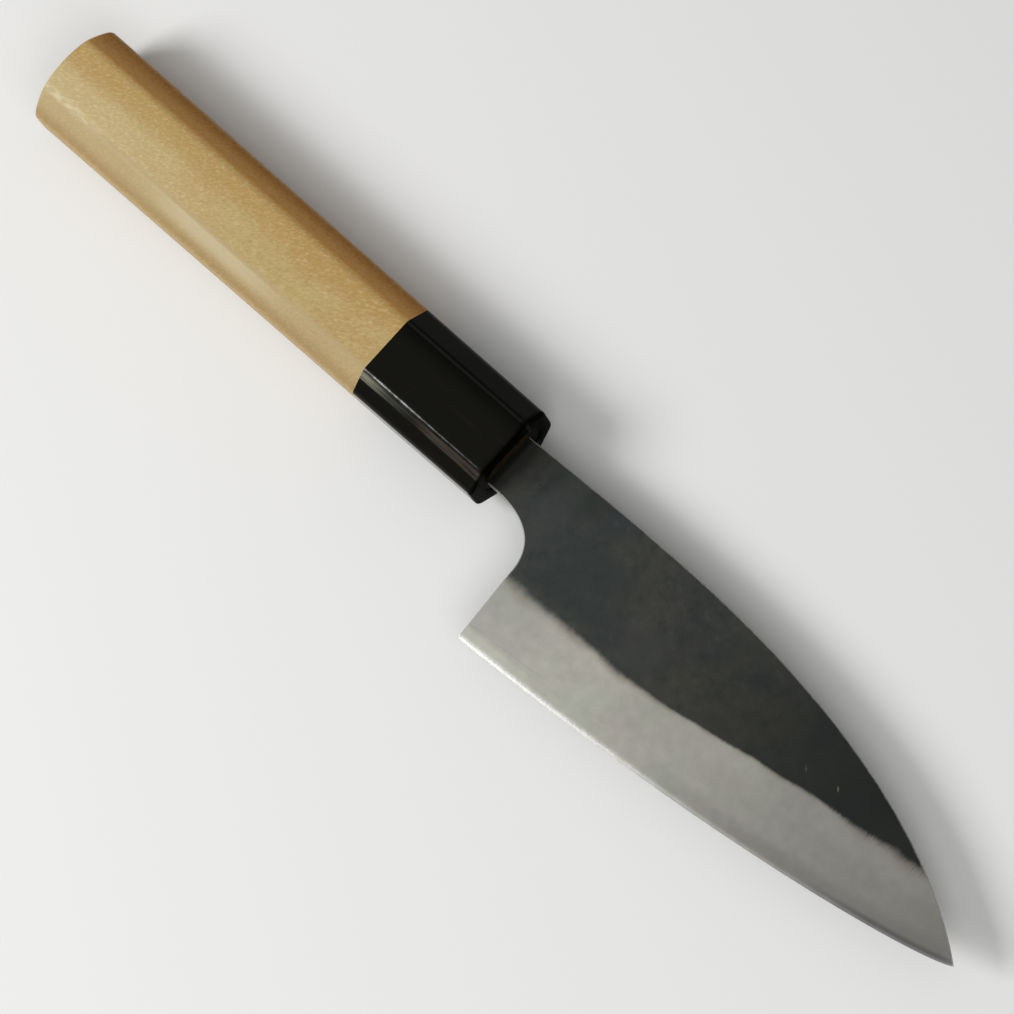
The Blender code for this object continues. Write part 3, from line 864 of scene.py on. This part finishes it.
def ground_steel(n, lift, ragged, share, honed):
    """Bright steel with fine upright scratches, painted darker towards the tip as shade, and a honed line
    along the edge.
    """
    along = n.along
    above_edge = n.above_edge
    broad = n.noise(n.flat, 14, 2.0, 0.4)
    tint = n.noise(n.flat, 11, 2.0)
    specks = n.noise(n.flat, 0.4, 3.0, 0.7)
    plain = (0.465 * lift, 0.455 * lift, 0.402 * lift)
    bright = n.mix(n.rescale(broad, 0.3, 0.7), plain, tuple(c * 0.94 for c in plain))
    bright = n.lay(
        bright,
        (n.rescale(n.scratches, 0.35, 0.65, 0, 0.15), tuple(c * 0.85 for c in plain)),
        # Greener at the heel, with faint rosy and green clouds
        (n.rescale(along, 36, 16, 0, 0.8), (0.405, 0.41, 0.37)),
        (n.rescale(tint, 0.5, 0.66, 0, 0.25), (0.49, 0.435, 0.41)),
        (n.rescale(tint, 0.5, 0.34, 0, 0.4), (0.42, 0.45, 0.385)),
        # Darker towards the tip as painted shade, and more so near the edge
        (n.rescale(along, 56, 114, 0, 0.9), (0.294, 0.286, 0.266)),
        (n.product(n.rescale(above_edge, 5.0, 1.0), n.rescale(along, 66, 96), 0.35), (0.25, 0.228, 0.22)),
        (n.rescale(along, 114, 131, 0, 0.4), (0.195, 0.190, 0.167)))
    # Painted sheen and shade over the ground steel
    bright = n.brighten(bright, painted_sheen(n))

    stain = n.product(n.rescale(share, -1.8, -0.3), n.rescale(n.noise(n.flat, 6), 0.35, 0.65, 0.1, 0.4))
    core = n.product(n.rescale(n.plus(above_edge, ragged, 0.4), 3.6, 2.2), n.rescale(along, 54, 24), 0.6)
    edge_highlight = n.product(n.rescale(above_edge, 1.6, 0.5), n.rescale(along, 82, 42),
                     n.rescale(specks, 0.4, 0.6, 0.1, 1.0))
    darker_by_edge = n.product(n.rescale(above_edge, 1.9, 0.9), n.rescale(along, 98, 120), 0.85)
    bright = n.lay(
        bright,
        # Darker beside the edge near the tip, brown below the scale, brighter over the core steel partly as a
        # painted sheen, and a painted highlight by the edge
        (darker_by_edge, (0.132, 0.130, 0.131)),
        (stain, (0.23, 0.19, 0.135)),
        (core, (0.57, 0.575, 0.49)),
        (edge_highlight, (0.66, 0.66, 0.64)))
    # The honed line, its colour partly a painted highlight that is brightest near the heel and fades towards
    # the tip
    line = n.lay(
        (0.66, 0.65, 0.63),
        (n.rescale(along, 46, 78), (0.385, 0.382, 0.372)),
        (n.rescale(along, 84, 120), (0.23, 0.23, 0.232)),
        (n.rescale(specks, 0.5, 0.25, 0, 0.35), bright))
    return n.mix(honed, bright, line)


def painted_sheen(n):
    """Painted sheen and shade: how much lighter or darker the ground steel is painted where the hand-ground
    surface turns a little.
    """
    heel = n.between(n.along, 26, 35, 44, 56, n.rescale(n.above_edge, 2, 6, 0, 0.11))
    middle = n.math("SUBTRACT", n.rescale(n.along, 62, 74, 0, 0.1), n.between(n.along, 79, 85, 91, 99, 0.1))
    upper = n.product(n.rescale(n.over, -7, -3), middle)
    lower = n.product(n.rescale(n.above_edge, 5.5, 2.5), n.rescale(n.along, 56, 68, 0, -0.1))
    return n.plus(n.plus(heel, 1.0), n.plus(upper, lower))


def blade_metal(name, lift):
    """Black forge scale above the bevel line and ground steel below it, with a soft ragged border between
    them. Lift says how much brighter the ground steel is in this layer."""
    n = BladeNodes(name)
    ragged, share = ragged_border(n)
    scale = n.rescale(share, -1.0, 0.85)
    honed = n.rescale(n.above_edge, 0.5, 0.3)
    worn = n.rescale(n.plus(n.attribute("from_rim"), n.mottle, -0.25), 0.2, -0.02, 0, 0.7)
    colour = n.mix(scale, ground_steel(n, lift, ragged, share, honed), forge_scale(n))
    metallic = n.rescale(scale, 0, 1, 0.9, 0.25, soft=False)
    rough = n.plus(n.rescale(scale, 0, 1, 0.4, 0.52, soft=False), honed, -0.1)
    n.set(Base_Color=n.mix(worn, colour, (0.42, 0.41, 0.38)), Metallic=n.math("MAXIMUM", metallic, worn),
          Roughness=n.wander(rough, n.mottle, 0.14), Specular_IOR_Level=0.3)
    pits = n.noise(n.flat, 1.3, 4.0, 0.6)
    forged = n.bump(n.product(scale, n.plus(n.grain, pits, 3.0)), 0.005)
    n.set(Normal=n.bump(n.product(n.math("SUBTRACT", 1.0, scale), n.scratches), 0.002, under=forged))
    return n.material


# The handle's materials

def magnolia():
    """Pale wood with fine short flecks and warmer and greener clouds: deeper towards the spine side, partly
    as painted shade, and with a painted sheen and highlight that make it paler by the butt and beside the
    near ridge, with longer grain on the narrow sides and end grain on the butt."""
    n = Nodes("magnolia_wood")
    along, height, up = n.axes()
    flecks = n.noise(n.places((0.45, 1, 1), -35), 0.42, 3.0, 0.6, 0.6)
    grains = n.noise(n.places((0.12, 1, 1)), 0.5, 3.0, 0.65)
    cloud = n.noise(n.places((0.5, 1, 1)), 5, 3.0, 0.55)
    tone = n.noise(n.places((0.5, 1, 1)), 8)
    side = n.wander(height, n.noise(n.places((0.06, 1, 1)), 5, 2.0), 1.6)

    # Painted sheen on the edge half of the near side towards the butt
    butt_sheen = n.product(n.rescale(along, -55, -118), n.rescale(side, 3.0, -2.0))
    warm = n.product(n.rescale(side, -0.5, 4.5), n.rescale(along, -130, -45, 0.55, 0.95))
    light_fleck = n.rescale(flecks, 0.48, 0.72, 0, 0.6)
    dark_fleck = n.product(n.rescale(flecks, 0.5, 0.28, 0, 0.6), n.rescale(butt_sheen, 0, 1, 1.0, 0.35))
    colour = n.mix(n.rescale(cloud, 0.35, 0.65), (0.478, 0.352, 0.148), (0.455, 0.318, 0.128))
    colour = n.lay(
        colour,
        # Warmer and greener clouds, painted sheen by the butt, warm towards the spine, then the flecks and
        # the grain
        (n.rescale(tone, 0.5, 0.66, 0, 0.6), (0.465, 0.295, 0.108)),
        (n.rescale(tone, 0.5, 0.34, 0, 0.6), (0.465, 0.362, 0.142)),
        (n.product(butt_sheen, 0.8), (0.545, 0.43, 0.215)),
        (warm, (0.432, 0.270, 0.088)),
        (light_fleck, n.mix(butt_sheen, (0.59, 0.46, 0.235), (0.70, 0.59, 0.36))),
        (dark_fleck, (0.36, 0.235, 0.08)),
        (n.rescale(grains, 0.5, 0.8, 0, 0.3), (0.37, 0.245, 0.09)))

    streaked = n.rescale(n.noise(n.places((0.2, 1, 1), -12), 0.5, 2.0), 0.4, 0.6, 0.25, 0.8)
    # Painted highlight along the near ridge by the butt, and a painted sheen band beside it
    rim = n.between(side, -7.0, -6.2, -5.6, -4.6, n.between(along, -130, -126, -118, -106, streaked))
    ridge_sheen_band = n.between(side, -10.5, -7.9, -7.2, -6.4, n.between(along, -100, -82, -70, -50))
    long_grain = n.lay(
        (0.395, 0.255, 0.090),
        (n.rescale(flecks, 0.35, 0.65), (0.525, 0.370, 0.160)),
        (n.rescale(grains, 0.5, 0.7, 0, 0.5), (0.36, 0.235, 0.085)))
    colour = n.lay(
        colour,
        # The corner flats, painted with light and shade: reddish on the spine side, greyish on the other, and
        # both darker outwards where they turn from the light
        (n.rescale(height, 6.4, 7.1, 0, 0.85), (0.515, 0.255, 0.070)),
        (n.rescale(side, 7.6, 11.2, 0, 0.93), (0.30, 0.125, 0.022)),
        (n.rescale(height, -5.4, -6.3, 0, 0.75), (0.372, 0.280, 0.140)),
        (n.rescale(side, -8.0, -11.6, 0, 0.85), (0.305, 0.200, 0.078)),
        # A painted highlight on the near ridge by the butt, a painted sheen band beside it, and the narrow
        # sides
        (rim, (0.64, 0.54, 0.33)),
        (n.product(ridge_sheen_band, 0.85), (0.49, 0.405, 0.25)),
        (n.rescale(n.math("ABSOLUTE", up), 5.4, 3.8, 0, 0.8), long_grain))

    # The flecks show through on the corner flats
    outer = n.rescale(n.math("ABSOLUTE", height), 6.2, 7.0)
    colour = n.mix(n.product(light_fleck, 0.4, outer), colour, (0.60, 0.42, 0.19))
    outer_dark = n.product(dark_fleck, outer, n.rescale(height, -7, 7, 0.3, 1.0))
    colour = n.mix(outer_dark, colour, n.mix(0.3, colour, (0.0, 0.0, 0.0)))

    pores = n.noise(n.places(), 0.35, 3.0, 0.6)
    end_grain = n.mix(n.rescale(pores, 0.55, 0.3), (0.50, 0.375, 0.165), (0.38, 0.26, 0.10))
    colour = n.mix(n.rescale(n.plus(along, cloud, 0.8), -126.6, -128.0, 0, 0.85), colour, end_grain)
    rough = n.rescale(flecks, 0.3, 0.7, 0.42, 0.5, soft=False)
    near_ridge = n.between(height, -7.2, -6.7, -6.0, -5.5, 0.15)
    deep = n.bump(n.noise(n.places(), 6, 2.0), 0.03)
    n.set(Base_Color=colour, Roughness=n.plus(rough, ridge_sheen_band, -0.08),
          Specular_IOR_Level=n.math("SUBTRACT", n.rescale(height, 6.2, 7.2, 0.3, 0.08), near_ridge),
          Normal=n.bump(n.plus(flecks, grains), 0.01, under=deep))
    return n.material


def black_horn():
    """Polished horn: nearly black, with faint brown streaks along it, a painted reflection as a paler streak
    beside the near ridge, and painted shade towards the spine side. It is glossiest on its near and far
    ridges, and duller on its front, which is painted blacker as shade."""
    n = Nodes("polished_horn")
    along, height, up = n.axes()
    streaks = n.noise(n.places((0.12, 1, 1)), 1.6, 4.0, 0.6)
    lines = n.noise(n.places((0.04, 1, 1)), 0.4, 3.0, 0.6)
    ridge_reflection = n.between(n.plus(height, lines), -8.1, -7.4, -6.7, -6.2, n.rescale(up, 3.0, 5.0))
    ridge_reflection = n.product(ridge_reflection, n.rescale(lines, 0.35, 0.62, 0.2, 1.0))
    colour = n.lay(
        (0.0060, 0.0058, 0.0042),
        (n.rescale(streaks, 0.55, 0.8), (0.0105, 0.009, 0.006)),
        # Painted shade: blacker towards the spine side
        (n.rescale(height, 2.0, 6.5), (0.0018, 0.0018, 0.0010)),
        # A painted reflection beside the near ridge: greenish, browner towards the front and palest at the
        # wood. Then the front, painted black as shade.
        (n.product(ridge_reflection, n.rescale(along, -12, -30)), (0.052, 0.054, 0.045)),
        (n.product(ridge_reflection, n.rescale(along, -21, -12)), (0.054, 0.046, 0.036)),
        (n.product(ridge_reflection, n.rescale(along, -25, -32)), (0.20, 0.195, 0.145)),
        (n.rescale(along, -0.65, -0.25, 0, 0.85), (0.0005, 0.0004, 0.0002)))

    front = n.rescale(along, -1.7, -0.6)
    wiped = n.rescale(n.noise(n.places((0.2, 1, 1)), 0.3, 3.0, 0.6), 0.3, 0.7, 0.1, 0.16, soft=False)
    broken = n.rescale(n.noise(n.places((1, 0, 0)), 3), 0.42, 0.58, 0.25, 1.0)
    near_ridge = n.between(height, -7.3, -6.9, -6.3, -5.9, n.rescale(along, -12, -20, 0.2, 1.0))
    far_ridge = n.between(height, 6.05, 6.4, 6.7, 7.1, 0.65)
    ridges = n.math("MAXIMUM", n.product(near_ridge, broken), far_ridge)
    gloss = n.rescale(ridges, 0, 1, 0.07, 0.5, soft=False)
    n.set(Base_Color=colour, Roughness=n.plus(wiped, front, 0.3),
          Specular_IOR_Level=n.product(gloss, n.rescale(front, 0, 1, 1.0, 0.1, soft=False)),
          Normal=n.bump(n.noise(n.places((0.3, 1, 1)), 2.5, 2.0), 0.004))
    return n.material


def brown_resin():
    """Dull brown resin in uneven patches, with painted shade that makes it darker at the top and bottom of
    the mouth.
    """
    n = Nodes("resin")
    flat = n.places()
    height = n.axes()[1]
    patches = n.noise(flat, 1.2, 4.0, 0.6)
    # Painted shade at the top and bottom of the mouth
    ends = n.plus(n.rescale(height, 4.6, 6.2, 0, 0.75), n.rescale(height, -5.6, -7.0, 0, 0.75))
    colour = n.mix(n.rescale(patches, 0.35, 0.7), (0.013, 0.0105, 0.0050), (0.035, 0.028, 0.0135))
    n.set(Base_Color=n.mix(ends, colour, (0.0045, 0.0020, 0.0006)),
          Roughness=n.rescale(patches, 0.3, 0.7, 0.5, 0.65, soft=False), Specular_IOR_Level=0.02,
          Normal=n.bump(n.noise(flat, 0.5), 0.05))
    return n.material


def build_knife():
    iron = blade_metal("clad_iron", 1.0)
    steel = blade_metal("core_steel", 1.03)
    blade = whole_blade()
    half_core = CORE_THICKNESS / 2
    give(layer(blade, "core_layer", -half_core, half_core), steel, ["core_steel"])
    give(layer(blade, "upper_layer", half_core, None), iron, ["upper_cladding"])
    give(layer(blade, "lower_layer", None, -half_core), iron, ["lower_cladding"])
    bpy.data.objects.remove(blade)
    give(wooden_body(), magnolia(), ["handle_body"])
    give(horn_ring(), black_horn(), ["horn_ferrule"])
    give(resin_plug(), brown_resin(), ["tang_seal"])


# Studio

def studio_floor():
    start_fresh()
    bpy.ops.mesh.primitive_plane_add(size=FLOOR_SIZE, location=(0, 0, body_low.z))
    floor = freeze(bpy.context.object, "studio_floor")
    n = Nodes("floor_paper")
    n.set(Base_Color=(0.80, 0.80, 0.79), Roughness=0.9)
    floor.data.materials.append(n.material)


def soft_light(name, towards, distance, side, power):
    """A square soft box that looks at the knife from this direction."""
    light = bpy.data.lights.new(name, "AREA")
    light.shape = "SQUARE"
    light.size = side
    light.energy = power
    lamp = bpy.data.objects.new(name, light)
    bpy.context.scene.collection.objects.link(lamp)
    direction = Vector(towards).normalized()
    lamp.location = direction * distance
    lamp.rotation_euler = direction.to_track_quat("Z", "Y").to_euler()


def studio_world():
    """A dim room, lighter overhead than at the sides."""
    world = bpy.data.worlds.new("studio")
    world.use_nodes = True
    bpy.context.scene.world = world
    tree = world.node_tree
    where = tree.nodes.new("ShaderNodeTexCoord")
    split = tree.nodes.new("ShaderNodeSeparateXYZ")
    rise = tree.nodes.new("ShaderNodeMapRange")
    tree.links.new(where.outputs["Generated"], split.inputs[0])
    tree.links.new(split.outputs["Z"], rise.inputs["Value"])
    rise.inputs["To Min"].default_value = ROOM_BELOW
    rise.inputs["To Max"].default_value = ROOM_ABOVE
    background = tree.nodes["Background"]
    background.inputs["Color"].default_value = (1, 1, 1, 1)
    tree.links.new(rise.outputs[0], background.inputs["Strength"])


def camera():
    """The photograph's view: nearly square to the blade, leaning towards the tip, from a metre away."""
    back = Vector(CAMERA_SIDE).normalized()
    along = (Vector((1, 0, 0)) - back * back.x).normalized()
    across = back.cross(along)
    turn = Vector(PICTURE_RIGHT).normalized()
    right = turn.x * along + turn.y * across
    data = bpy.data.cameras.new("camera")
    data.lens = LENS
    data.sensor_width = SENSOR
    data.clip_end = 20
    eye = bpy.data.objects.new("camera", data)
    bpy.context.scene.collection.objects.link(eye)
    turned = Matrix((right, back.cross(right), back)).transposed().to_4x4()
    eye.matrix_world = Matrix.Translation(place(*PICTURE_CENTRE) + back * CAMERA_DISTANCE) @ turned
    bpy.context.scene.camera = eye


build_knife()
studio_floor()
studio_world()
for light in LIGHTS:
    soft_light(*light)
camera()
bpy.context.scene.view_settings.view_transform = "Standard"
